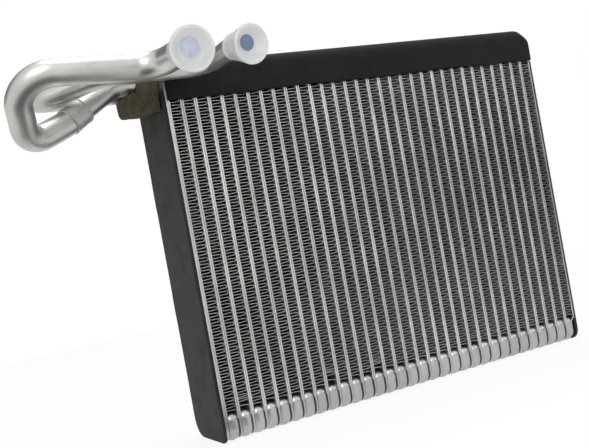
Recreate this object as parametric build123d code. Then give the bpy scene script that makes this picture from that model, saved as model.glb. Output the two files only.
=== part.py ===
from build123d import *
import os

os.makedirs("parts", exist_ok=True)

# Millimetres. X runs along the core from the pipe end, Y goes back through it, Z is up.
# The origin is under the middle of the core, on the plane that the bottom tank rests on.

# Core: a stack of stamped tubes, each a brazed pair of plates, with corrugated fins between them
tube_pitch = 9.4
tube_count = 32
core_depth = 48.0
core_height = 242.8
tube_thickness = 2.7
nose_round = 0.5
seam_width = 0.35
seam_depth = 0.9
channel_gap = 1.5
channel_edge = 4.0
centre_rib = 3.0

# Tanks: the cups pressed into both ends of every plate
tank_height = 18.0
tank_outer_round = 8.0
tank_inner_round = 4.4
flange_sheet = 0.6
flange_inset = 0.5
cup_edge_round = 4.2
passage_wall = 5.0

# Fins
fin_spacing = 1.96
fin_crest = 0.8
fin_stock = 0.16
fin_setback = 1.1
fin_end_gap = 0.6
fins_per_group = 3

# End plates
left_plate_thickness = 1.35
right_plate_thickness = 1.0
right_plate_inset = 1.5
joggle_length = 3.2

# Foam strips
left_foam_thickness = 2.0
left_foam_drop = 17.8
right_foam_thickness = 2.25
top_foam_thickness = 1.9
top_foam_cover = 22.7
top_foam_end_round = 9.0
top_foam_end_inner_round = 5.5
foam_inset = 0.4
foam_clearance = 0.1

# Putty-coloured foam packed round the roots of the pipes
pad_lower_length = 17.0
pad_lower_height = 13.0
pad_lower_drop = 27.6
pad_lower_front = -19.0
pad_lower_back = 16.5
pad_lower_round = 9.0
pad_upper_length = 15.0
pad_upper_front = -16.6
pad_upper_back = 21.5
pad_upper_rise = 0.6
pad_edge_round = 1.6

# Pipes
suction_diameter = 16.0
suction_stub_diameter = 15.0
liquid_diameter = 12.0
pipe_wall = 1.3
braze_gap = 0.05
union_length = 12.5
union_offset = 2.2
union_wall = 0.6
union_overlap = 6.0
bead_height = 0.75
bead_width = 2.4
bead_from_tip = 9.5

# Pipe routes: the corners between straight runs, with the bend radius at each corner.
# They are measured from the first tube, the middle of the core's depth and the core's top.
stub_corner = (-29.9, -8.0, -7.6)
union_corner = (-64.3, -15.5, -28.7)
low_corner = (-90.6, -21.0, -39.4)
high_corner = (-100.3, -55.0, -3.5)
front_corner = (-15.2, -55.0, -6.1)
suction_kink = (-10.0, -81.5, -4.3)
stub_bend, union_bend, low_bend, high_bend, front_bend, kink_bend = 17.0, 20.0, 13.5, 18.8, 18.0, 14.0
liquid_rear_corner = (-71.9, 13.6, -10.0)
liquid_return_corner = (-76.6, -10.8, -12.9)
liquid_front_corner = (-41.9, -37.2, -6.0)
liquid_end_corner = (23.6, -37.2, -6.1)
liquid_kink = (24.0, -77.0, -3.3)
rear_bend, return_bend, entry_bend, end_bend, liquid_kink_bend = 11.8, 11.8, 28.0, 16.0, 12.0
suction_port_direction = (-0.125, -0.983, -0.135)
liquid_port_direction = (0.14, -0.98, -0.14)

# Shipping caps
suction_cap_length = 23.5
liquid_cap_length = 20.0
cap_from_kink = 3.0
cap_wall = 0.85
cap_fit = 0.15
cap_web = 1.2
cap_bowl_depth = 5.0
cap_skirt_length = 4.5
cap_step = 0.6
cap_rim_lip = 1.6
suction_cap_rim = 26.2
suction_cap_window = 12.0
liquid_cap_rim = 23.6
liquid_cap_window = 9.6
cap_edge_round = 0.5

# Worked out from the sizes above
half_pitch = tube_pitch / 2
half_tube = tube_thickness / 2
half_depth = core_depth / 2
fin_width = tube_pitch - tube_thickness
first_tube_x = -(tube_count - 1) * half_pitch
last_tube_x = -first_tube_x
left_plate_outer_x = first_tube_x - left_plate_thickness
left_foam_outer_x = left_plate_outer_x - left_foam_thickness
right_plate_inner_x = last_tube_x + half_tube + fin_width
right_plate_outer_x = right_plate_inner_x + right_plate_thickness
right_foam_outer_x = right_plate_outer_x + right_foam_thickness
top_foam_bottom = core_height - top_foam_cover
left_foam_top = core_height - left_foam_drop
mid_height = Plane.XY.offset(core_height / 2)


def from_root(corner):
    """A pipe's corner in the part's frame."""
    return Vector(first_tube_x + corner[0], corner[1], core_height + corner[2])


def save(name, *solids):
    shape = solids[0] if len(solids) == 1 else Compound(children=list(solids))
    export_step(shape, f"parts/{name}.step")


def tube_x(index):
    return first_tube_x + index * tube_pitch


def block(x, y, z):
    """A box given by its low and high limits along each axis."""
    size = [high - low for low, high in (x, y, z)]
    return Pos(x[0], y[0], z[0]) * Box(*size, align=(Align.MIN, Align.MIN, Align.MIN))


def tank_face(inset):
    """The bottom tank's side outline, shrunk by an inset, in the plane x = 0."""
    outline = Rectangle(core_depth - 2 * inset, tank_height - 2 * inset)
    outline = fillet(outline.vertices().sort_by(Axis.Y)[:2], tank_outer_round - inset)
    outline = fillet(outline.vertices().sort_by(Axis.Y)[-2:], tank_inner_round - inset)
    return Plane.YZ * Pos(0, tank_height / 2) * outline


def core_face(inset, bottom, top, round_top):
    """The core's side outline between two heights, in the plane x = 0."""
    outline = Rectangle(core_depth - 2 * inset, top - bottom)
    outline = fillet(outline.vertices().sort_by(Axis.Y)[:2], tank_outer_round - inset)
    if round_top:
        outline = fillet(outline.vertices().sort_by(Axis.Y)[-2:], tank_outer_round - inset)
    return Plane.YZ * Pos(0, (bottom + top) / 2) * outline


def make_cup():
    """Half of one tank cell: the flange that meets its mate, and the cup that bulges from it."""
    flange = extrude(tank_face(flange_inset), amount=flange_sheet)
    cup = extrude(tank_face(0), amount=half_pitch)
    cup = fillet(cup.faces().sort_by(Axis.X)[0].edges(), cup_edge_round)
    return flange + cup


def make_passages():
    """The bottom tank has one wide passage, and the top tank a front and a rear one."""
    y_low, y_high = -half_depth + passage_wall, half_depth - passage_wall
    z_low, z_high = passage_wall, tank_height - passage_wall
    bottom = block((0, half_pitch), (y_low, y_high), (z_low, z_high))
    top_z = (core_height - z_high, core_height - z_low)
    front = block((0, half_pitch), (y_low, -centre_rib / 2), top_z)
    rear = block((0, half_pitch), (centre_rib / 2, y_high), top_z)
    return bottom + front + rear


def make_plate():
    """One stamped plate, open towards x = 0 where it is brazed to its mate."""
    y_span = (-half_depth, half_depth)
    web_low = tank_height - tank_inner_round
    web = block((0, half_tube), y_span, (web_low, core_height - web_low))
    outer_edges = web.edges().filter_by(Axis.Z).group_by(Axis.X)[-1]
    web = fillet(outer_edges, nose_round)
    cup = make_cup()
    plate = web + cup + mirror(cup, about=mid_height)
    channel_z = (tank_height / 2, core_height - tank_height / 2)
    for side in (-1, 1):
        limits = sorted((side * centre_rib / 2, side * (half_depth - channel_edge)))
        plate -= block((0, channel_gap / 2), limits, channel_z)
        groove = sorted((side * (half_depth - seam_depth), side * (half_depth + seam_depth)))
        plate -= block((0, seam_width / 2), groove, (tank_height, core_height - tank_height))
    return plate - make_passages()


def offset_path(points, distance):
    """A polyline moved sideways by a distance, with mitred corners."""
    moved = []
    for index, point in enumerate(points):
        before = points[max(index - 1, 0)]
        after = points[min(index + 1, len(points) - 1)]
        first = (point - before) if index > 0 else (after - point)
        second = (after - point) if index < len(points) - 1 else first
        first_side = Vector(-first.Z, 0, first.X).normalized()
        second_side = Vector(-second.Z, 0, second.X).normalized()
        mitre = first_side + second_side
        moved.append(point + mitre * (2 * distance / mitre.dot(mitre)))
    return moved


def make_fin():
    """One fin: a strip folded back and forth between two tube walls, centred on x = 0."""
    low = tank_height + fin_end_gap
    high = core_height - tank_height - fin_end_gap
    legs = int((high - low - fin_crest) / fin_spacing)
    wall = fin_width / 2 - fin_stock / 2
    path = []
    for leg in range(legs + 1):
        x = -wall if leg % 2 == 0 else wall
        z = low + leg * fin_spacing
        path += [Vector(x, 0, z), Vector(x, 0, z + fin_crest)]
    outline = offset_path(path, fin_stock / 2) + offset_path(path, -fin_stock / 2)[::-1]
    section = Face(Wire.make_polygon(outline, close=True))
    strip = extrude(section, amount=core_depth - 2 * fin_setback, dir=(0, 1, 0))
    return Pos(0, -half_depth + fin_setback, 0) * strip


def make_left_plate():
    """The flat end plate that closes the first tube and takes both pipes."""
    plate = extrude(core_face(0, 0, core_height, True), amount=-left_plate_thickness)
    plate = Pos(first_tube_x, 0, 0) * plate
    return plate - pipe_room(stub_path(), suction_stub_diameter, braze_gap) \
        - pipe_room(liquid_path(), liquid_diameter, braze_gap)


def make_right_plate():
    """The end plate beside the last fin, stepped inwards to close both tanks."""
    inner_x, cup_x = right_plate_inner_x, last_tube_x + half_pitch
    low_z, high_z = right_plate_inset, core_height - right_plate_inset
    low_step, high_step = tank_height - joggle_length, core_height - tank_height + joggle_length
    line = [(cup_x, low_z), (cup_x, low_step), (inner_x, tank_height),
            (inner_x, core_height - tank_height), (cup_x, high_step), (cup_x, high_z)]
    path = [Vector(x, 0, z) for x, z in line]
    outline = path + offset_path(path, -right_plate_thickness)[::-1]
    section = Face(Wire.make_polygon(outline, close=True))
    plate = Pos(0, -half_depth, 0) * extrude(section, amount=core_depth, dir=(0, 1, 0))
    corners = plate.edges().filter_by(Axis.X).group_by(Axis.Z)
    return fillet(corners[0] + corners[-1], tank_outer_round - right_plate_inset)


def make_left_foam():
    sheet = extrude(core_face(foam_inset, 0, left_foam_top, False), amount=-left_foam_thickness)
    return Pos(left_plate_outer_x, 0, 0) * sheet


def make_right_foam():
    sheet = extrude(core_face(foam_inset, 0, top_foam_bottom, False), amount=right_foam_thickness)
    return Pos(right_plate_outer_x, 0, 0) * sheet


def make_top_foam():
    """The foam wrapped over the top tank, open at the pipe end and closed at the other."""
    def shell(grow, x_high, end_round):
        depth = core_depth + 2 * grow
        z = (top_foam_bottom, core_height + grow)
        body = block((first_tube_x, x_high), (-depth / 2, depth / 2), z)
        long_edges = body.edges().filter_by(Axis.X).group_by(Axis.Z)[-1]
        body = fillet(long_edges, tank_outer_round + grow)
        end_edge = body.edges().group_by(Axis.X)[-1].sort_by(Axis.Z)[-1]
        return fillet(end_edge, end_round) if end_round else body

    inner_x = right_foam_outer_x - top_foam_thickness
    end_cutter = make_end_cutter(right_foam_outer_x, core_height + top_foam_thickness, top_foam_end_round)
    inner_cutter = make_end_cutter(inner_x, core_height + foam_clearance, top_foam_end_inner_round)
    outer = shell(top_foam_thickness, right_foam_outer_x, 0) - end_cutter
    return outer - (shell(foam_clearance, inner_x, 0) - inner_cutter)


def make_end_cutter(x_high, z_high, radius):
    """What rounds a shell's far top edge off: a bar with a quarter circle taken out."""
    bar = block((x_high - radius, x_high + radius), (-core_depth, core_depth),
                (z_high - radius, z_high + radius))
    roll = Cylinder(radius, 2 * core_depth, rotation=(90, 0, 0))
    return bar - Pos(x_high - radius, 0, z_high - radius) * roll


def make_tube(diameter, path):
    """A drawn pipe along a path, open at both ends."""
    start = Plane(origin=path @ 0, z_dir=path % 0)
    outer = sweep(start * Circle(diameter / 2), path=path)
    inner = sweep(start * Circle(diameter / 2 - pipe_wall), path=path)
    return outer - inner


def past_kink(kink, direction, distance):
    """The point at a distance past a pipe's last bend, on the line of its port."""
    return from_root(kink) + Vector(*direction).normalized() * distance


def tip_distance(cap_length):
    """How far past its last bend a pipe ends: just short of its cap's inner web."""
    return cap_from_kink + cap_length - cap_bowl_depth - cap_web - 2 * cap_fit


def add_bead(pipe, diameter):
    """The raised ring that holds the seal on the liquid pipe's end."""
    place = tip_distance(liquid_cap_length) - bead_from_tip
    base = Plane(origin=past_kink(liquid_kink, liquid_port_direction, place),
                 z_dir=Vector(*liquid_port_direction))
    ring = Cylinder(diameter / 2 + bead_height, bead_width)
    ring = fillet(ring.edges(), bead_width / 2 - cap_fit) - Cylinder(diameter / 2 - pipe_wall, 2 * bead_width)
    return pipe + base * ring


def union_axis():
    return (from_root(stub_corner) - from_root(union_corner)).normalized()


def union_point(distance):
    """A point on the union's axis, by its distance from the union's middle towards the core."""
    return from_root(union_corner) + union_axis() * (union_offset + union_length / 2 + distance)


def stub_path():
    root = from_root((0, *stub_corner[1:]))
    return FilletPolyline(root, from_root(stub_corner), union_point(braze_gap), radius=stub_bend)


def liquid_path():
    corners = [(0, *liquid_rear_corner[1:]), liquid_rear_corner, liquid_return_corner,
               liquid_front_corner, liquid_end_corner, liquid_kink]
    tip = past_kink(liquid_kink, liquid_port_direction, tip_distance(liquid_cap_length))
    return FilletPolyline(*map(from_root, corners), tip,
                          radius=[rear_bend, return_bend, entry_bend, end_bend, liquid_kink_bend])


def pipe_room(path, diameter, clearance):
    """The space that a pipe takes, with a clearance all round it."""
    start = Plane(origin=path @ 0, z_dir=path % 0)
    return sweep(start * Circle(diameter / 2 + clearance), path=path)


def make_stub():
    """The suction pipe's first length, from the end plate into the union."""
    return make_tube(suction_stub_diameter, stub_path())


def make_suction_pipe():
    corners = [union_corner, low_corner, high_corner, front_corner, suction_kink]
    tip = past_kink(suction_kink, suction_port_direction, tip_distance(suction_cap_length))
    path = FilletPolyline(union_point(-braze_gap), *map(from_root, corners), tip,
                          radius=[union_bend, low_bend, high_bend, front_bend, kink_bend])
    return make_tube(suction_diameter, path)


def make_liquid_pipe():
    return add_bead(make_tube(liquid_diameter, liquid_path()), liquid_diameter)


def make_union():
    """The brazed sleeve over the joint between the stub and the suction pipe."""
    middle = union_point(0)
    half = union_length / 2
    sleeve = Cylinder(suction_diameter / 2 + union_wall, 2 * half)
    sleeve = fillet(sleeve.edges(), union_wall - braze_gap)
    stub_side = Pos(0, 0, half / 2) * Cylinder(suction_stub_diameter / 2 + braze_gap, half)
    pipe_side = Pos(0, 0, -half / 2) * Cylinder(suction_diameter / 2 + braze_gap, half)
    return Plane(origin=middle, z_dir=union_axis()) * (sleeve - stub_side - pipe_side)


def make_cap(grip, cap_length, rim, window):
    """A soft shipping cap: a skirt that grips the pipe's end, a flared rim and a dished front."""
    bore = grip / 2 + cap_fit
    skirt = bore + cap_wall
    body = skirt + cap_step
    web_low = cap_length - cap_bowl_depth - cap_web
    web_high = cap_length - cap_bowl_depth
    lip = rim / 2 - cap_rim_lip
    profile = [(bore, 0), (skirt, 0), (skirt, cap_skirt_length), (body, cap_skirt_length + cap_step),
               (body, web_low), (rim / 2, cap_length - cap_rim_lip), (rim / 2, cap_length),
               (lip, cap_length), (window / 2, web_high), (0, web_high), (0, web_low), (bore, web_low)]
    section = Face(Wire.make_polygon([Vector(r, 0, z) for r, z in profile], close=True))
    cap = revolve(section, axis=Axis.Z)
    rim_edges = cap.edges().filter_by(GeomType.CIRCLE).group_by(Axis.Z)[-1]
    return fillet(rim_edges, cap_edge_round)


def put_on(cap, kink, direction):
    """A cap on its pipe's end, with its open end a little past the pipe's last bend."""
    return Plane(origin=past_kink(kink, direction, cap_from_kink), z_dir=Vector(*direction)) * cap


def make_pad():
    """The foam packed round the pipes' roots, cut to clear each pipe."""
    lower = block((left_foam_outer_x - pad_lower_length, left_foam_outer_x),
                  (pad_lower_front, pad_lower_back),
                  (core_height - pad_lower_drop, core_height - pad_lower_drop + pad_lower_height))
    low_back_edge = lower.edges().filter_by(Axis.X).sort_by(Axis.Z)[:2].sort_by(Axis.Y)[-1]
    lower = fillet(low_back_edge, pad_lower_round)
    upper = block((left_plate_outer_x - pad_upper_length, left_plate_outer_x),
                  (pad_upper_front, pad_upper_back),
                  (left_foam_top + foam_clearance, core_height + pad_upper_rise))
    upper = fillet(upper.faces().sort_by(Axis.X)[0].edges(), pad_edge_round)
    return lower + upper - pipe_room(stub_path(), suction_stub_diameter, foam_clearance) \
        - pipe_room(liquid_path(), liquid_diameter, foam_clearance)


plate = make_plate()
mate = mirror(plate, about=Plane.YZ)
for number in range(tube_count):
    pair = [plate] if number == 0 else [mate, plate]
    save(f"tube_{number + 1:02d}", *[Pos(tube_x(number), 0, 0) * side for side in pair])

fin = make_fin()
for group, start in enumerate(range(0, tube_count, fins_per_group)):
    members = range(start, min(start + fins_per_group, tube_count))
    save(f"fins_{group + 1:02d}", *[Pos(tube_x(member) + half_pitch, 0, 0) * fin for member in members])

save("left_end_plate", make_left_plate())
save("right_end_plate", make_right_plate())
save("left_side_foam", make_left_foam())
save("right_side_foam", make_right_foam())
save("top_foam_wrap", make_top_foam())
save("suction_stub_pipe", make_stub())
save("suction_union_sleeve", make_union())
save("suction_pipe", make_suction_pipe())
save("liquid_pipe", make_liquid_pipe())
cap = make_cap(suction_diameter, suction_cap_length, suction_cap_rim, suction_cap_window)
save("suction_cap", put_on(cap, suction_kink, suction_port_direction))
cap = make_cap(liquid_diameter + 2 * bead_height, liquid_cap_length, liquid_cap_rim, liquid_cap_window)
save("liquid_cap", put_on(cap, liquid_kink, liquid_port_direction))
save("pipe_root_foam", make_pad())
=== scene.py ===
import math

import bmesh
import bpy
import numpy as np
from mathutils import Matrix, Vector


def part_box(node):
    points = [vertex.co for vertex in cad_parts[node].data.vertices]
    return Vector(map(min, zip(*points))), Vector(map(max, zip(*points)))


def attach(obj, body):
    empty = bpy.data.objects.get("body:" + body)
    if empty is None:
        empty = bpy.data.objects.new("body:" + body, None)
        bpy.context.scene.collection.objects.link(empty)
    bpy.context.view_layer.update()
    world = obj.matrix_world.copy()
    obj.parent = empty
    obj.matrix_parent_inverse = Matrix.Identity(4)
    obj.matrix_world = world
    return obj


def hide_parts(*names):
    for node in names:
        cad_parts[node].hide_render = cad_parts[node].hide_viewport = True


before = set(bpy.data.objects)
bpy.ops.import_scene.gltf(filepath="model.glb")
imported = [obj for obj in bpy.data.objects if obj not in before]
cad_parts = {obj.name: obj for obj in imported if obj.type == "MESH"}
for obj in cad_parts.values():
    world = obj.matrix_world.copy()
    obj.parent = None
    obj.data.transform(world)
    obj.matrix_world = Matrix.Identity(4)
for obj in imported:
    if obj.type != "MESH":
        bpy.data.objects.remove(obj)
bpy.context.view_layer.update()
print("loaded the frame:", len(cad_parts), "nodes")

# Sizes are written in millimetres, and become metres where a mesh is made.
millimetre = 0.001

core = {
    "tubePitch": 9.4,  # between the middles of two tubes
    "tubeCount": 32,
    "tubeThickness": 2.7,
    "depth": 48.0,
    "height": 242.8,
    "tankHeight": 18.0,
}
firstTube = -(core["tubeCount"] - 1) * core["tubePitch"] / 2
frontFace = -core["depth"] / 2
samePoint = {"grid": 2e-7, "solid": 1e-5}  # in metres: points nearer than this are one


# Meshes: every new piece but the putty is a grid of points, worked out as whole arrays.

def added(name, data):
    # a new object in the scene
    piece = bpy.data.objects.new(name, data)
    bpy.context.scene.collection.objects.link(piece)
    return piece


def gridPiece(name, points, wrapAcross=False, creaseDegrees=35):
    # points has one row per station along the piece and one column per step across it
    rows, columns = points.shape[:2]
    number = np.arange(rows * columns).reshape(rows, columns)
    if wrapAcross:
        number = np.concatenate([number, number[:, :1]], axis=1)
    corners = [number[:-1, :-1], number[:-1, 1:], number[1:, 1:], number[1:, :-1]]
    faces = np.stack(corners, axis=-1).reshape(-1, 4)
    return facePiece(name, points.reshape(-1, 3), faces, creaseDegrees)


def facePiece(name, points, faces, creaseDegrees):
    # a mesh from points and faces: doubled points are merged, and sharp edges stay sharp
    mesh = bpy.data.meshes.new(name)
    mesh.vertices.add(len(points))
    mesh.vertices.foreach_set("co", (points * millimetre).astype(np.float32).ravel())
    mesh.loops.add(faces.size)
    mesh.loops.foreach_set("vertex_index", faces.astype(np.int32).ravel())
    mesh.polygons.add(len(faces))
    starts = np.arange(0, faces.size, faces.shape[1], dtype=np.int32)
    mesh.polygons.foreach_set("loop_start", starts)
    mesh.update(calc_edges=True)
    mesh.validate()
    work = bmesh.new()
    work.from_mesh(mesh)
    bmesh.ops.remove_doubles(work, verts=work.verts, dist=samePoint["grid"])
    bmesh.ops.recalc_face_normals(work, faces=work.faces)
    work.to_mesh(mesh)
    work.free()
    mesh.shade_smooth()
    mesh.set_sharp_from_angle(angle=math.radians(creaseDegrees))
    return added(name, mesh)


def joined(name, pieces):
    # several pieces become one, which keeps the first one's place in the scene
    with bpy.context.temp_override(active_object=pieces[0], selected_editable_objects=pieces):
        bpy.ops.object.join()
    pieces[0].name = name
    return pieces[0]


def roundedLine(corners, radii, steps=7):
    # A line through corners with each inner corner swapped for an arc: the arc leaves one run
    # and joins the next at radius * tan(half the turn) from the corner.
    corners = [np.array(c, float) for c in corners]
    line = [corners[0]]
    for before, corner, after, radius in zip(corners, corners[1:], corners[2:], radii):
        into, out = corner - before, after - corner
        into, out = into / np.linalg.norm(into), out / np.linalg.norm(out)
        turn = math.acos(np.clip(into @ out, -1, 1))
        if turn < 0.01 or radius <= 0:
            line.append(corner)
            continue
        inward = (out - into) / np.linalg.norm(out - into)
        centre = corner + inward * radius / math.cos(turn / 2)
        side = corner - into * radius * math.tan(turn / 2) - centre
        swing = np.linspace(0, turn, max(3, int(steps * turn)))[:, None]
        line.extend(centre + np.cos(swing) * side + np.sin(swing) * into * radius)
    line.append(corners[-1])
    return np.array(line)


def evenly(line, spacing):
    # the same line with points at equal distances along it
    length = np.concatenate([[0], np.cumsum(np.linalg.norm(np.diff(line, axis=0), axis=1))])
    where = np.linspace(0, length[-1], max(2, int(round(length[-1] / spacing)) + 1))
    points = [np.interp(where, length, line[:, k]) for k in range(line.shape[1])]
    return np.stack(points, axis=1), where


def squareTo(axis):
    # the axis with a length of 1, and two directions square to it and to each other
    axis = np.array(axis, float) / np.linalg.norm(axis)
    helper = np.array([0, 0, 1.0]) if abs(axis[2]) < 0.9 else np.array([1.0, 0, 0])
    across = np.cross(helper, axis)
    across /= np.linalg.norm(across)
    return axis, across, np.cross(axis, across)


def lathePiece(name, profile, origin, axis, around=96):
    # Each profile point (radius, distance) runs round the axis:
    # origin + axis * distance + radius * (across * cos + up * sin).
    axis, across, up = squareTo(axis)
    turn = np.linspace(0, 2 * math.pi, around, endpoint=False)
    spoke = np.cos(turn)[:, None] * across + np.sin(turn)[:, None] * up
    points = np.array(origin) + profile[:, None, 1:] * axis + profile[:, None, :1] * spoke
    return gridPiece(name, points, wrapAcross=True)


def pipeFrames(line):
    # the direction of the line and two square to it, carried along without twist
    along = np.gradient(line, axis=0)
    along /= np.linalg.norm(along, axis=1)[:, None]
    side = np.zeros_like(along)
    side[0] = squareTo(along[0])[1]
    for k in range(1, len(line)):
        side[k] = side[k - 1] - along[k] * (side[k - 1] @ along[k])
        side[k] /= np.linalg.norm(side[k])
    return along, side, np.cross(along, side)


def pipePiece(name, corners, bends, diameter, wall, beadFromTip, beadHeight, beadWidth, around=48):
    # A circle carried along the rounded route. Its radius swells by a raised cosine at the bead,
    # and at both ends it steps in to the bore and goes back inside before it closes.
    spacing = 1.2  # between two stations
    inside = 12  # stations of bore that show at each end
    line, where = evenly(roundedLine(corners, bends, steps=60), spacing)
    radius = np.full(len(where), diameter / 2)
    if beadFromTip:
        off = (where - (where[-1] - beadFromTip)) / (beadWidth / 2)
        radius += beadHeight * np.where(np.abs(off) < 1, 0.5 + 0.5 * np.cos(math.pi * off), 0)
    along, side, up = pipeFrames(line)
    bore = diameter / 2 - wall
    last = len(line) - 1
    order = [*range(inside, -1, -1), *range(last + 1), *range(last, last - 1 - inside, -1)]
    size = [*[bore] * (inside + 1), *radius, *[bore] * (inside + 1)]
    order, size = np.array([order[0], *order, order[-1]]), np.array([0, *size, 0])
    turn = np.linspace(0, 2 * math.pi, around, endpoint=False)[None, :, None]
    points = line[order][:, None] + size[:, None, None] * (
        np.cos(turn) * side[order][:, None] + np.sin(turn) * up[order][:, None])
    return gridPiece(name, points, wrapAcross=True)


def waves(position, longest, count, seed):
    # a gentle irregular wave: sines with falling length and height and scattered starts
    scatter = np.random.default_rng(seed)
    total = np.zeros_like(position, dtype=float)
    for k in range(count):
        length = longest / (1 + 0.83 * k)
        total += np.sin(2 * math.pi * position / length + scatter.uniform(0, 6.3)) / (1 + k)
    return total


# Shading: arithmetic on a socket adds Math nodes, and node() adds any other kind.

class Shade:
    def __init__(self, tree, socket=None):
        self.tree = tree
        self.socket = socket

    def node(self, kind, settings=None, inputs=None, output=0):
        made = self.tree.nodes.new(kind)
        for key, value in (settings or {}).items():
            setattr(made, key, value)
        for key, value in (inputs or {}).items():
            if isinstance(value, Shade):
                self.tree.links.new(value.socket, made.inputs[key])
            else:
                made.inputs[key].default_value = value
        return Shade(self.tree, made.outputs[output])

    def maths(self, operation, first, second=0.0):
        return self.node("ShaderNodeMath", {"operation": operation}, {0: first, 1: second})

    def __add__(self, other):
        return self.maths("ADD", self, other)

    def __radd__(self, other):
        return self.maths("ADD", other, self)

    def __rsub__(self, other):
        return self.maths("SUBTRACT", other, self)

    def __mul__(self, other):
        return self.maths("MULTIPLY", self, other)

    def clipped(self, low, high):
        # 0 below low, 1 above high, and a smooth step between
        return self.node("ShaderNodeMapRange", {"interpolation_type": "SMOOTHSTEP"},
                         {"Value": self, "From Min": low, "From Max": high})

    def along(self, axis):
        # the place along one of the object's own axes
        spot = self.node("ShaderNodeTexCoord", output="Object")
        return self.node("ShaderNodeSeparateXYZ", {}, {0: spot}, "xyz".index(axis))

    def place(self, scale):
        # the place on the object, with each axis stretched by its scale
        spot = self.node("ShaderNodeTexCoord", output="Object")
        return self.node("ShaderNodeMapping", {}, {"Vector": spot, "Scale": scale})

    def noise(self, scale, detail=2.0, stretch=(1, 1, 1), roughness=0.5):
        inputs = {"Vector": self.place(stretch), "Scale": scale, "Detail": detail,
                  "Roughness": roughness}
        return self.node("ShaderNodeTexNoise", {}, inputs)

    def cells(self, scale, stretch=(1, 1, 1)):
        inputs = {"Vector": self.place(stretch), "Scale": scale}
        return self.node("ShaderNodeTexVoronoi", {}, inputs)

    def blend(self, first, second):
        # this value chooses between two colours
        tones = [tone if isinstance(tone, Shade) else (*tone, 1) for tone in (first, second)]
        inputs = {0: self, 6: tones[0], 7: tones[1]}
        return self.node("ShaderNodeMix", {"data_type": "RGBA"}, inputs, output=2)

    def bump(self, distance, strength):
        inputs = {"Height": self, "Distance": distance, "Strength": strength}
        return self.node("ShaderNodeBump", {}, inputs)


def newMaterial(name):
    # a material, a Shade that adds nodes to it, and its Principled surface
    material = bpy.data.materials.new(name)
    material.use_nodes = True
    tree = material.node_tree
    surface = next(n for n in tree.nodes if n.type == "BSDF_PRINCIPLED")
    return material, Shade(tree), surface


def dress(surface, shade, **sockets):
    # sets or links the surface's sockets, each by its short name
    names = {"colour": "Base Color", "roughness": "Roughness", "metallic": "Metallic",
             "normal": "Normal", "specular": "Specular IOR Level",
             "transmission": "Transmission Weight", "ior": "IOR", "alpha": "Alpha"}
    for key, value in sockets.items():
        target = surface.inputs[names[key]]
        if isinstance(value, Shade):
            shade.tree.links.new(value.socket, target)
        else:
            target.default_value = value


coreMetal = {
    "light": (0.68, 0.675, 0.655),
    "dark": (0.50, 0.495, 0.48),
    "residue": (0.74, 0.735, 0.71),
    "speck": (0.36, 0.34, 0.33),
    # painted shade: tank is the darker tone given to the bottom tank
    "tank": (0.36, 0.355, 0.35),
    "tankEdge": (0.0150, 0.0195),  # metres up, where the tank's painted shade fades out
    "tankShadeAmount": 0.55,
    "roughness": 0.30,
    "grain": 900,
}


def brazedAluminium():
    # rolled metal with patches, pale residue, small dark specks, and painted shade that darkens the
    # bottom tank
    material, shade, surface = newMaterial("brazedAluminium")
    rolled = shade.noise(coreMetal["grain"], 3, stretch=(1, 1, 0.04))
    patches = shade.noise(38, 4, stretch=(1, 1, 0.5), roughness=0.6).clipped(0.40, 0.68)
    flux = shade.noise(210, 3).clipped(0.60, 0.72)
    specks = shade.cells(520).clipped(0.10, 0.22)
    tone = patches.blend(coreMetal["dark"], coreMetal["light"])
    tone = (flux * 0.45).blend(tone, coreMetal["residue"])
    tone = ((1 - specks) * 0.25).blend(tone, coreMetal["speck"])
    # painted shade: the bottom tank is darkened towards the tank tone below the tankEdge height
    above = shade.along("z").clipped(*coreMetal["tankEdge"])
    shadeAmount = coreMetal["tankShadeAmount"]
    tone = (shadeAmount - above * shadeAmount).blend(tone, coreMetal["tank"])
    dress(surface, shade, colour=tone, metallic=1 - flux * 0.35,
          roughness=coreMetal["roughness"] + rolled * 0.14 + flux * 0.16,
          normal=(rolled * 0.6 + flux * 0.5).bump(0.00006, 0.6))
    return material


finMetal = {
    "light": (0.80, 0.79, 0.775),
    "dark": (0.64, 0.63, 0.62),
    # shadeInside: painted shade for the fins deep inside the core
    "shadeInside": (0.10, 0.098, 0.096),
    "slit": (0.14, 0.135, 0.13),
    "roughness": 0.28,
    "louvrePitch": 1.5,
    "plainEdge": (0.0212, 0.0216),  # metres from the middle, where the slits end
    "shadedDepth": (0.0188, 0.0226),  # metres from the middle, where the painted shade inside the core fades out
}


def finAluminium():
    material, shade, surface = newMaterial("finAluminium")
    spot = shade.along("y")
    # louvres: dark slits (0 in flat) across each leg, one every louvrePitch through the depth
    pitch = finMetal["louvrePitch"] * millimetre
    flat = shade.maths("PINGPONG", spot * (1 / pitch), 0.5).clipped(0.02, 0.10)
    plain = shade.maths("ABSOLUTE", spot).clipped(*finMetal["plainEdge"])
    flat = shade.maths("MAXIMUM", flat, plain)
    patches = shade.noise(55, 3).clipped(0.35, 0.70)
    scuffs = shade.noise(700, 2, stretch=(1, 0.2, 1))
    tone = patches.blend(finMetal["dark"], finMetal["light"])
    tone = ((1 - flat) * 0.75).blend(tone, finMetal["slit"])
    # painted shade: the fins darken deeper inside the core, where shade falls between the tubes
    outer = shade.maths("ABSOLUTE", spot).clipped(*finMetal["shadedDepth"])
    tone = outer.blend(finMetal["shadeInside"], tone)
    dress(surface, shade, colour=tone, metallic=1.0,
          roughness=finMetal["roughness"] + scuffs * 0.15, normal=flat.bump(0.0002, 0.7))
    return material


pipeMetal = {
    "light": (0.655, 0.645, 0.615),
    "dark": (0.52, 0.515, 0.495),
    "scuff": (0.36, 0.36, 0.37),
    "dull": (0.42, 0.42, 0.425),
    "pipeRoughness": 0.30,
    "sleeveRoughness": 0.46,
}


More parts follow.
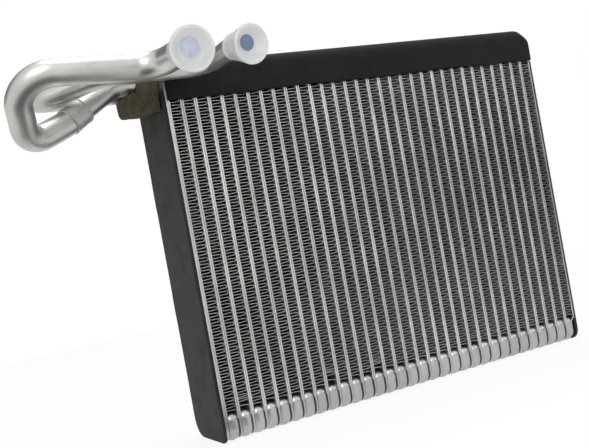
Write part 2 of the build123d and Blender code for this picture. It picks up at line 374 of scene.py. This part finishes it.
def drawnAluminium(name, stretch, roughness, dulling, pitting):
    # drawing lines run along the stretch, dulling greys the haze, and pitting roughens it
    material, shade, surface = newMaterial(name)
    lines = shade.noise(850, 3, stretch=stretch)
    haze = shade.noise(45, 4, roughness=0.6).clipped(0.35, 0.75)
    nicks = shade.cells(230, stretch=stretch).clipped(0.03, 0.09)
    tone = haze.blend(pipeMetal["dark"], pipeMetal["light"])
    tone = ((1 - nicks) * 0.4).blend(tone, pipeMetal["scuff"])
    tone = (haze * dulling).blend(tone, pipeMetal["dull"])
    rubbed = shade.noise(190, 5, stretch=(0.35, 1, 1), roughness=0.7).clipped(0.60, 0.72)
    tone = (rubbed * 0.45).blend(tone, pipeMetal["scuff"])
    dress(surface, shade, colour=tone, metallic=1.0,
          roughness=roughness + lines * 0.10 + (1 - haze) * 0.08,
          normal=(lines + nicks * 0.5 + haze * pitting).bump(0.00004, 0.5))
    return material


# painted light and shade: wrapFoam and stripFoam are one black foam, with the wrap's tones darkened
# as painted shade and the strip's lightened as painted light
foamLook = {
    "wrapFoam": {"black": (0.0062, 0.0062, 0.0068), "worn": (0.014, 0.0138, 0.015), "gloss": 0.14},
    "stripFoam": {"black": (0.0095, 0.0095, 0.0112), "worn": (0.021, 0.021, 0.0245), "gloss": 0.35},
    "pore": (0.004, 0.004, 0.0045),
    "cell": 1500,
}


def blackFoam(name):
    # worn patches over black, darker in the pores
    material, shade, surface = newMaterial(name)
    look = foamLook[name]
    pores = shade.cells(foamLook["cell"]).clipped(0.05, 0.55)
    fine = shade.noise(2600, 2)
    worn = shade.noise(60, 4, roughness=0.65).clipped(0.45, 0.75)
    tone = worn.blend(look["black"], look["worn"])
    tone = ((1 - pores) * 0.5).blend(tone, foamLook["pore"])
    dress(surface, shade, colour=tone, roughness=0.62 + worn * 0.2, specular=look["gloss"],
          normal=(pores + fine * 0.4).bump(0.00022, 0.65))
    return material


puttyLook = {
    "light": (0.088, 0.075, 0.047),
    "dark": (0.046, 0.040, 0.027),
    "pore": (0.07, 0.058, 0.03),
}


def khakiFoam():
    # two khaki tones by lumps, with the pores' own tone between them
    material, shade, surface = newMaterial("khakiFoam")
    lumps = shade.noise(240, 4, roughness=0.6)
    pores = shade.cells(1100).clipped(0.04, 0.4)
    tone = lumps.clipped(0.3, 0.7).blend(puttyLook["dark"], puttyLook["light"])
    tone = ((1 - pores) * 0.5).blend(tone, puttyLook["pore"])
    dress(surface, shade, colour=tone, roughness=0.8 + pores * 0.1, specular=0.3,
          normal=(lumps * 1.5 + pores * 0.5).bump(0.0005, 0.8))
    return material


capLook = {
    "dim": (0.90, 0.91, 0.915),
    "bright": (0.95, 0.955, 0.96),
    "bigWindow": (0.50, 0.54, 0.63),
    "smallWindow": (0.16, 0.22, 0.36),
    "windowLift": 1.25,  # how much brighter a window's clouds are
    "ior": 1.46,
}


def milkyPlastic():
    # clouded plastic that lets a little light through
    material, shade, surface = newMaterial("milkyPlastic")
    cloud = shade.noise(120, 3)
    marks = shade.noise(900, 2, stretch=(1, 0.15, 1))
    dress(surface, shade, colour=cloud.clipped(0.3, 0.7).blend(capLook["dim"], capLook["bright"]),
          roughness=0.26 + marks * 0.12, transmission=0.45, ior=capLook["ior"], alpha=0.86,
          normal=(cloud * 0.5 + marks * 0.2).bump(0.0001, 0.4))
    return material


def windowPlastic(name):
    # the tinted discs in the caps, with faint clouds
    material, shade, surface = newMaterial(name)
    cloud = shade.noise(260, 3)
    tint = capLook[name]
    lifted = tuple(min(1, c * capLook["windowLift"]) for c in tint)
    dress(surface, shade, colour=cloud.clipped(0.3, 0.7).blend(tint, lifted),
          roughness=0.3 + cloud * 0.1, transmission=0.25, ior=capLook["ior"],
          normal=cloud.bump(0.0001, 0.3))
    return material


materials = {
    "core": brazedAluminium(),
    "fins": finAluminium(),
    "pipe": drawnAluminium("pipeAluminium", (0.06, 1, 1), pipeMetal["pipeRoughness"], 0.1, 0),
    "sleeve": drawnAluminium("sleeveAluminium", (1, 1, 1), pipeMetal["sleeveRoughness"], 0.7, 3),
    "wrapFoam": blackFoam("wrapFoam"),
    "stripFoam": blackFoam("stripFoam"),
    "putty": khakiFoam(),
    "cap": milkyPlastic(),
    "bigWindow": windowPlastic("bigWindow"),
    "smallWindow": windowPlastic("smallWindow"),
}


def finish(piece, material, replaced=()):
    # gives a piece its material, hangs it on the root body, and hides the nodes it stands for
    piece.data.materials.clear()
    piece.data.materials.append(materials[material])
    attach(piece, "root")
    if replaced:
        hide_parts(*replaced)
    return piece


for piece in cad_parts.values():
    piece.data.materials.clear()
    piece.data.materials.append(materials["core"])
print("made the materials")


fins = {
    "spacing": 1.96,  # between two legs of the wave
    "sheet": 0.22,
    "setBack": 1.1,  # behind the tubes' noses
    "endGap": 0.6,
    "endMargin": 0.3,  # between the end gap and the first or last crest
    "wallGap": 0.02,
    "squareness": 2.4,  # how flat the crests are
    "levelling": 0.62,  # how level the legs are
    "perLeg": 10,
    "perGroup": 3,
    "heightWander": 0.35,
    "heightWave": 90,
    "frontWander": 0.12,
    "frontWave": 60,
    "crushed": {1: 2.6, 3: 1.8, 8: 3.2, 12: 2.2, 21: 1.4},  # column: its lowest folds' push
    "lightPush": 0.25,  # the other columns' push is 0, 1 or 2 times this, by turns
    "pushReach": 2.2,
    "pushGrowth": 2.5,
}


def finPiece(column):
    # The strip's middle line swings from wall to wall as tanh(squareness * sin(phase)), while it
    # climbs by one spacing per half turn, less a sin(2 * phase) share that levels the legs. The
    # lowest folds are pushed up by an amount that grows from 0 and fades out again.
    low = core["tankHeight"] + fins["endGap"]
    high = core["height"] - low
    legs = int((high - low) / fins["spacing"])
    phase = np.linspace(0, legs * math.pi, legs * fins["perLeg"] + 1) + math.pi / 2
    half = fins["sheet"] / 2
    reach = (core["tubePitch"] - core["tubeThickness"]) / 2 - half - fins["wallGap"]
    x = reach * np.tanh(fins["squareness"] * np.sin(phase)) / math.tanh(fins["squareness"])
    climb = (phase - math.pi / 2) / (legs * math.pi)
    z = low + fins["endMargin"] + climb * (high - low - 2 * fins["endMargin"])
    z -= fins["levelling"] * fins["spacing"] / (2 * math.pi) * np.sin(2 * phase)
    wander = waves(z, fins["heightWave"], 4, 100 + column)
    z += fins["heightWander"] * wander * np.sin(climb * math.pi)
    push = fins["crushed"].get(column, fins["lightPush"] * (column % 3))
    fade = np.exp(-((z - low) / (fins["pushReach"] + push)) ** 2)
    z += push * fade * (z - low) / fins["pushGrowth"]
    slope = np.stack([np.gradient(x), np.gradient(z)])
    slope /= np.linalg.norm(slope, axis=0)
    wander = waves(z, fins["frontWave"], 3, 300 + column)
    front = frontFace + fins["setBack"] + fins["frontWander"] * wander
    back = np.full_like(z, -(frontFace + fins["setBack"]))
    middle = firstTube + (column + 0.5) * core["tubePitch"]
    sides = [(1, front), (-1, front), (-1, back), (1, back)]
    ring = [np.stack([middle + x - side * half * slope[1], y, z + side * half * slope[0]], axis=1)
            for side, y in sides]
    points = np.stack(ring, axis=1)
    ends = [end.mean(axis=1, keepdims=True).repeat(4, axis=1) for end in (points[:1], points[-1:])]
    points = np.concatenate([ends[0], points, ends[1]])
    return gridPiece(f"fin{column + 1:02d}", points, wrapAcross=True, creaseDegrees=50)


for group, start in enumerate(range(0, core["tubeCount"], fins["perGroup"])):
    columns = range(start, min(start + fins["perGroup"], core["tubeCount"]))
    strip = joined(f"foldedFins{group + 1:02d}", [finPiece(column) for column in columns])
    finish(strip, "fins", [f"fins_{group + 1:02d}"])
print("folded the fins")


pipes = {
    "wall": 1.3,
    "beadHeight": 0.75,
    "beadWidth": 2.6,
    "beadFromTip": 9.5,
    "suctionDiameter": 16.0,
    "stubDiameter": 15.0,
    "liquidDiameter": 12.0,
    "suctionPort": (-0.125, -0.983, -0.135),
    "liquidPort": (0.14, -0.98, -0.14),
    "suctionTip": 20.0,  # past the last bend
    "liquidTip": 16.5,
    "stub": [(-145.7, -8.0, 235.2), (-175.6, -8.0, 235.2), (-203.0, -13.97, 218.7)],
    "stubBends": [17.0],
    "suction": [(-203.2, -14.02, 218.56), (-210.0, -15.5, 214.1), (-236.3, -21.0, 203.4),
                (-246.0, -55.0, 239.3), (-160.9, -55.0, 236.7), (-155.7, -81.5, 238.5)],
    "suctionBends": [20.0, 13.5, 18.8, 18.0, 14.0],
    "liquid": [(-145.7, 13.6, 232.8), (-217.6, 13.6, 232.8), (-222.3, -10.8, 229.9),
               (-187.6, -37.2, 236.8), (-122.1, -37.2, 236.7), (-121.7, -77.0, 239.5)],
    "liquidBends": [11.8, 11.8, 28.0, 16.0, 12.0],
}


def pastKink(pipe, distance):
    # the point at a distance past a pipe's last bend, on the line of its port
    axis = np.array(pipes[pipe + "Port"])
    return np.array(pipes[pipe][-1]) + axis / np.linalg.norm(axis) * distance


def bentPipe(name, pipe, replaced, bead=False, around=48):
    # a finished pipe: it runs on past its last bend if it has a tip, and may have a bead there
    route = [*pipes[pipe]]
    if pipe + "Tip" in pipes:
        route.append(pastKink(pipe, pipes[pipe + "Tip"]))
    swell = (pipes["beadFromTip"], pipes["beadHeight"], pipes["beadWidth"]) if bead else (0, 0, 1)
    bends, diameter = pipes[pipe + "Bends"], pipes[pipe + "Diameter"]
    piece = pipePiece(name, route, bends, diameter, pipes["wall"], *swell, around)
    finish(piece, "pipe", [replaced])


bentPipe("suctionStub", "stub", "suction_stub_pipe")
bentPipe("suctionRun", "suction", "suction_pipe", around=64)
bentPipe("liquidRun", "liquid", "liquid_pipe", bead=True)


union = {
    "length": 12.5,
    "fromCorner": 2.2,
    "radius": 8.6,
    "brazeBead": 0.45,
    "groove": 0.12,
    "edgeRound": 0.3,
}


def unionPiece():
    # the sleeve's outline: a plain band with a small braze bead rolled round each end
    corner, towards = np.array(pipes["suction"][1]), np.array(pipes["stub"][1])
    axis = (towards - corner) / np.linalg.norm(towards - corner)
    low, high = union["fromCorner"], union["fromCorner"] + union["length"]
    r, bead = union["radius"], union["brazeBead"]
    crown, groove = r + bead * 0.5, r - union["groove"]
    outline = [(r - 0.5, low - bead), (crown, low - bead), (crown, low + bead),
               (groove, low + bead * 2), (r, low + bead * 3), (r, high - bead * 3),
               (groove, high - bead * 2), (crown, high - bead), (crown, high + bead),
               (r - 1.0, high + bead)]
    profile = roundedLine(outline, [union["edgeRound"]] * 8)
    return lathePiece("unionSleeve", profile, corner, axis)


finish(unionPiece(), "sleeve", ["suction_union_sleeve"])
print("bent the pipes")


caps = {
    "wall": 0.85,
    "bowlDepth": 5.0,
    "web": 1.2,
    "skirtLength": 4.2,
    "step": 0.6,
    "lip": 1.9,
    "rimBand": 1.3,
    "backPastKink": 3.0,
    "fit": 0.15,
    "discHalfThickness": 0.1,
    "ringRise": 0.22,  # the disc's raised ring
    "discRise": 1.1,  # how far the disc sits off the cap's axis
    "rounds": [0.3, 0.2, 0.35, 0.3, 0.4, 0.8, 0.3, 0.6, 0.7, 0.5, 0.8, 0.9],  # at each corner
    "suction": {"length": 23.5, "grip": 16.0, "rim": 26.2, "window": 14.4, "disc": 11.4},
    "liquid": {"length": 20.0, "grip": 13.5, "rim": 23.6, "window": 12.0, "disc": 9.6},
}


def capPiece(name, pipe):
    # The outline goes out under the web, down inside the skirt and up its outside, over the rim,
    # and down the bowl to the middle of the web.
    size = caps[pipe]
    bore = size["grip"] / 2 + caps["fit"]
    skirt, body = bore + caps["wall"], bore + caps["wall"] + caps["step"]
    length, webTop = size["length"], size["length"] - caps["bowlDepth"]
    rim, window = size["rim"] / 2, size["window"] / 2
    lip = rim - caps["lip"]
    band, webLow, skirtTop = length - caps["rimBand"], webTop - caps["web"], caps["skirtLength"]
    outline = [(0, webLow), (bore, webLow), (bore, 0), (skirt, 0), (skirt, skirtTop),
               (body, skirtTop + 0.5), (rim - 0.3, band - 0.3), (rim, band), (rim, length),
               (lip, length), (lip - 0.5, length - 1.0), (window + 0.4, webTop + 0.4),
               (window, webTop), (0, webTop)]
    profile = roundedLine(outline, caps["rounds"], 9)
    back = pastKink(pipe, caps["backPastKink"])
    return lathePiece(name, profile, back, pipes[pipe + "Port"])


def windowPiece(name, pipe):
    # the flat disc at the bottom of the bowl, with a raised ring near its middle
    webTop = caps[pipe]["length"] - caps["bowlDepth"]
    edge = caps[pipe]["disc"] / 2
    face = webTop + caps["discHalfThickness"]
    ring = face + caps["ringRise"]
    outline = [(0, face), (edge * 0.10, face), (edge * 0.14, ring), (edge * 0.20, ring),
               (edge * 0.24, face), (edge, face), (edge, webTop - caps["discHalfThickness"])]
    axis = pipes[pipe + "Port"]
    origin = pastKink(pipe, caps["backPastKink"]) + squareTo(axis)[2] * caps["discRise"]
    return lathePiece(name, roundedLine(outline, [0.05, 0.08, 0.08, 0.05, 0.15]), origin, axis, 64)


finish(capPiece("suctionCap", "suction"), "cap", ["suction_cap"])
finish(capPiece("liquidCap", "liquid"), "cap", ["liquid_cap"])
finish(windowPiece("suctionCapDisc", "suction"), "bigWindow")
finish(windowPiece("liquidCapDisc", "liquid"), "smallWindow")
print("pressed the caps on")


foam = {
    "wrapThickness": 1.8,
    "wrapLow": 220.1,
    "wrapHigh": 244.7,
    "wrapHalfDepth": 25.9,
    "wrapRound": 8.9,
    "wrapStart": -145.7,
    "wrapEnd": 157.0,
    "endRoundTop": 9.0,
    "endRoundSide": 2.4,
    "roundBelowTop": (12, 2),  # below the top, where the end's rounding starts and stops growing
    "edgeWander": 0.35,  # how much the cut edge wanders
    "edgeWave": 120,
    "skinWander": 0.12,
    "skinWave": 45,
    "stations": 120,
    "acrossStep": 1.5,
    "turnSteps": 10,
    "closingRings": 12,
}


def wrapPiece():
    # The wrap's cross-section runs up the front, over the top and down the back. It is carried
    # along the core, turns the far corner on a quarter circle whose radius grows from the sides to
    # the top, and closes as a flat end that shrinks towards the middle of its lower edge.
    half, low, high = foam["wrapHalfDepth"], foam["wrapLow"], foam["wrapHigh"]
    section = [(-half, low), (-half, high), (half, high), (half, low)]
    across = evenly(roundedLine(section, [foam["wrapRound"]] * 2, 14), foam["acrossStep"])[0]
    y, z = across[:, 0], across[:, 1]
    start, stop = foam["roundBelowTop"]
    rise = np.clip((z - (high - start)) / (start - stop), 0, 1)
    growth = foam["endRoundTop"] - foam["endRoundSide"]
    radius = foam["endRoundSide"] + growth * rise * rise * (3 - 2 * rise)
    rows = []
    for share in np.linspace(0, 1, foam["stations"]):
        x = foam["wrapStart"] + share * (foam["wrapEnd"] - radius - foam["wrapStart"])
        rows.append(np.stack([x, y, z], axis=1))
    for swing in np.linspace(0.12, math.pi / 2, foam["turnSteps"]):
        taken = radius * (1 - math.cos(swing))
        x = foam["wrapEnd"] - radius * (1 - math.sin(swing))
        lowered = low + (z - low) * (high - low - taken) / (high - low)
        rows.append(np.stack([x, y * (half - taken) / half, lowered], axis=1))
    last = rows[-1]
    middle = np.array([foam["wrapEnd"], 0, low])
    shares = np.linspace(0.93, 0, foam["closingRings"])
    rows += [middle + (last - middle) * share for share in shares]
    points = np.array(rows)
    x, height = points[..., 0], (points[..., 2] - low) / (high - low)
    wander = waves(x + points[..., 1] * 3, foam["edgeWave"], 6, 5) * (1 - height) ** 3
    points[..., 2] -= foam["edgeWander"] * wander
    swell = 1 + waves(x + points[..., 2] * 0.7, foam["skinWave"], 5, 6)
    points[..., 1] *= 1 + foam["skinWander"] / half * swell * (height < 0.99)
    piece = gridPiece("topFoamWrap", points, creaseDegrees=60)
    sheet = piece.modifiers.new("sheet", "SOLIDIFY")
    sheet.thickness = foam["wrapThickness"] * millimetre
    sheet.offset = -1
    return piece


strips = {
    "halfDepth": 23.6,
    "topRound": 0.6,
    "swell": 0.10,  # how much the face wanders
    "swellWave": 70,
    "edgeStep": 2.0,
    "rings": 14,
    "left": {"thickness": 2.0, "feet": (4.6, 11.0), "seed": 21},  # feet: the bottom's rounding
    "right": {"thickness": 2.25, "feet": (7.6, 7.6), "seed": 22},
}


def stripPiece(name, side, innerX, outwards, high):
    # A flat strip: rings that shrink from its outline to its middle, on a face that swells a
    # little. The outline starts and ends in the middle of its top edge.
    half, top, own = strips["halfDepth"], strips["topRound"], strips[side]
    outline = [(0, high), (-half, high), (-half, 0), (half, 0), (half, high), (0, high)]
    rounded = roundedLine(outline, [top, *own["feet"], top], 12)
    edge = evenly(rounded, strips["edgeStep"])[0][:-1]
    middle = np.array([0, edge[:, 1].mean()])
    share = np.concatenate([[1, 1, 0.997, 0.985], np.linspace(0.95, 0, strips["rings"])])
    depth = np.concatenate([[0, 0.82, 0.95, 1], np.full(strips["rings"], 1.0)])
    flat = middle + (edge - middle)[None] * share[:, None, None]
    wander = waves(flat[..., 1] + flat[..., 0] * 0.5, strips["swellWave"], 4, own["seed"])
    swell = strips["swell"] * wander * (depth[:, None] >= 1)
    x = innerX + outwards * (own["thickness"] * depth[:, None] + swell)
    front = np.concatenate([x[..., None], flat], axis=-1)
    rear = np.concatenate([np.full((*flat[:1].shape[:2], 1), innerX), flat[:1]], axis=-1)
    centre = np.broadcast_to(middle, (1, len(edge), 2))
    closing = np.concatenate([np.full((1, len(edge), 1), innerX), centre], axis=-1)
    points = np.concatenate([closing, rear, front])
    return gridPiece(name, points, wrapAcross=True, creaseDegrees=40)


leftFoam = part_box("left_side_foam")
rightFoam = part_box("right_side_foam")
leftInner, leftHigh = leftFoam[1].x / millimetre, leftFoam[1].z / millimetre
rightInner, rightHigh = rightFoam[0].x / millimetre, rightFoam[1].z / millimetre
leftStrip = stripPiece("leftFoamStrip", "left", leftInner, -1, leftHigh)
rightStrip = stripPiece("rightFoamStrip", "right", rightInner, 1, rightHigh)
topWrap = wrapPiece()
finish(leftStrip, "stripFoam", ["left_side_foam"])
finish(rightStrip, "stripFoam", ["right_side_foam"])
finish(topWrap, "wrapFoam", ["top_foam_wrap"])


lumpy = {
    "faceSize": 0.7,
    "height": 0.14,
    "lengthAlong": 17,
    "lengthThrough": 14,
}


def puttyPiece():
    # the CAD solid's own surface, rebuilt in small even faces, then softened and made lumpy
    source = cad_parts["pipe_root_foam"]
    piece = added("pipeRootPutty", source.data.copy())
    work = bmesh.new()
    work.from_mesh(piece.data)
    bmesh.ops.remove_doubles(work, verts=work.verts, dist=samePoint["solid"])
    work.to_mesh(piece.data)
    work.free()
    remesh = piece.modifiers.new("evenFaces", "REMESH")
    remesh.mode = "VOXEL"
    remesh.voxel_size = lumpy["faceSize"] * millimetre
    smooth = piece.modifiers.new("soften", "SMOOTH")
    smooth.iterations = 1
    graph = bpy.context.evaluated_depsgraph_get()
    made = bpy.data.meshes.new_from_object(piece.evaluated_get(graph))
    piece.modifiers.clear()
    piece.data = made
    count = len(made.vertices)
    points, normals = np.zeros(count * 3), np.zeros(count * 3)
    made.vertices.foreach_get("co", points)
    made.vertices.foreach_get("normal", normals)
    points, normals = points.reshape(-1, 3), normals.reshape(-1, 3)
    x, y, z = points.T / millimetre
    lumps = waves(x + z * 0.6, lumpy["lengthAlong"], 4, 31)
    lumps += waves(y, lumpy["lengthThrough"], 4, 32)
    points += normals * (lumps * lumpy["height"] * millimetre)[:, None]
    made.vertices.foreach_set("co", points.ravel())
    made.update()
    made.shade_smooth()
    return piece


putty = finish(puttyPiece(), "putty", ["pipe_root_foam"])
print("stuck the foam on")


# The room: a white floor that keeps a faint shadow, soft lamps and dark cards for the metal to
# mirror. The floor, the lamps and the camera are placed in metres, and the cards in millimetres.

room = {
    "floorSize": 6.0,
    "floorPaint": (0.92, 0.92, 0.92, 1),
    "white": (1, 1, 1, 1),
    "glow": 0.86,  # how much of the floor's white is its own
    "allWhite": (0.45, 0.85),  # from the middle, where the glow starts and ends growing to 1
    "worldLevel": 0.50,
    "cardTone": 0.10,
}
coreMiddle = (0, 0, 0.12)
lamps = {
    "keyLamp": {"place": (-0.9, -1.3, 1.2), "aim": coreMiddle, "size": (0.9, 0.9), "power": 14.0,
                "tone": (1, 0.99, 0.97)},
    "fillLamp": {"place": (1.2, -0.9, 0.5), "aim": coreMiddle, "size": (0.8, 0.8), "power": 5.0,
                 "tone": (0.96, 0.98, 1)},
    "topLamp": {"place": (0.1, 0.2, 1.4), "aim": (0, 0, 0.1), "size": (0.9, 0.5), "power": 8.0,
                "tone": (1, 1, 1)},
}
cards = {
    "lowCard": [(-480, -430, 4), (-120, -430, 4), (-480, -40, 4), (-120, -40, 4)],
    "backCard": [(-1200, 650, 330), (300, 650, 330), (-1200, 650, 1100), (300, 650, 1100)],
    "farCard": [(700, -1200, 0), (1100, -300, 0), (700, -1200, 420), (1100, -300, 420)],
}


def seenOrMirrored(shade):
    # 1 for rays from the camera and for those that metal or glass sends on, else 0
    direct = shade.node("ShaderNodeLightPath", output="Is Camera Ray")
    shiny = shade.node("ShaderNodeLightPath", output="Is Glossy Ray")
    clear = shade.node("ShaderNodeLightPath", output="Is Transmission Ray")
    return shade.maths("MAXIMUM", direct, shade.maths("MAXIMUM", shiny, clear))


def whiteFloor():
    # painted floor for light and shadow, mixed with a white glow where it is seen
    material, shade, surface = newMaterial("whiteFloor")
    tree = shade.tree
    spot = shade.node("ShaderNodeTexCoord", output="Object")
    away = shade.node("ShaderNodeVectorMath", {"operation": "LENGTH"}, {0: spot}, output=1)
    far = away.clipped(*room["allWhite"])
    paint = shade.node("ShaderNodeBsdfDiffuse", {}, {"Color": room["floorPaint"]})
    glow = shade.node("ShaderNodeEmission", {}, {"Color": room["white"], "Strength": 1.0})
    own = shade.maths("MAXIMUM", far, room["glow"]) * seenOrMirrored(shade)
    both = shade.node("ShaderNodeMixShader", {}, {0: own, 1: paint, 2: glow})
    out = next(n for n in tree.nodes if n.type == "OUTPUT_MATERIAL")
    tree.links.new(both.socket, out.inputs["Surface"])
    tree.nodes.remove(surface)
    return material


def areaLamp(name, place, aim, size, power, tone):
    # a rectangular lamp whose back is turned away from its aim
    light = bpy.data.lights.new(name, "AREA")
    light.shape = "RECTANGLE"
    light.size, light.size_y = size
    light.energy = power
    light.color = tone
    lamp = added(name, light)
    axis, across, up = squareTo(np.array(place) - np.array(aim))
    rows = [[across[k], up[k], axis[k], place[k]] for k in range(3)]
    lamp.matrix_world = Matrix([*rows, [0, 0, 0, 1]])


def darkCard(name, corners):
    # a dark card stands off to one side, where only the metal mirrors it
    material, shade, surface = newMaterial(name)
    tone = shade.noise(4) * 0.01 + room["cardTone"]
    dress(surface, shade, colour=tone, roughness=0.9, specular=0.0)
    card = gridPiece(name, np.array(corners, float).reshape(2, 2, 3))
    card.data.materials.append(material)
    card.visible_camera = False
    card.visible_diffuse = False
    card.visible_shadow = False


half = room["floorSize"] / 2 / millimetre
ground = [(-half, -half, 0), (half, -half, 0), (-half, half, 0), (half, half, 0)]
floor = gridPiece("floor", np.array(ground, float).reshape(2, 2, 3))
floor.data.materials.append(whiteFloor())
for name, corners in cards.items():
    darkCard(name, corners)

world = bpy.data.worlds.new("studio")
world.use_nodes = True
bpy.context.scene.world = world
air = Shade(world.node_tree)
strength = room["worldLevel"] + seenOrMirrored(air) * (1 - room["worldLevel"])
backdrop = next(n for n in world.node_tree.nodes if n.type == "BACKGROUND")
backdrop.inputs["Color"].default_value = room["white"]
world.node_tree.links.new(strength.socket, backdrop.inputs["Strength"])

for name, settings in lamps.items():
    areaLamp(name, **settings)

view = {
    "place": (-0.368636, -0.587292, 0.138144),
    "turn": (89.1583, 10.3355, -27.8658),  # degrees
    "lens": 58.346,
    "clipStart": 0.01,
}
lensData = bpy.data.cameras.new("camera")
lensData.lens = view["lens"]
lensData.clip_start = view["clipStart"]
camera = added("camera", lensData)
camera.location = view["place"]
camera.rotation_euler = [math.radians(angle) for angle in view["turn"]]
bpy.context.scene.camera = camera
bpy.context.scene.view_settings.view_transform = "Standard"
print("lit the room")
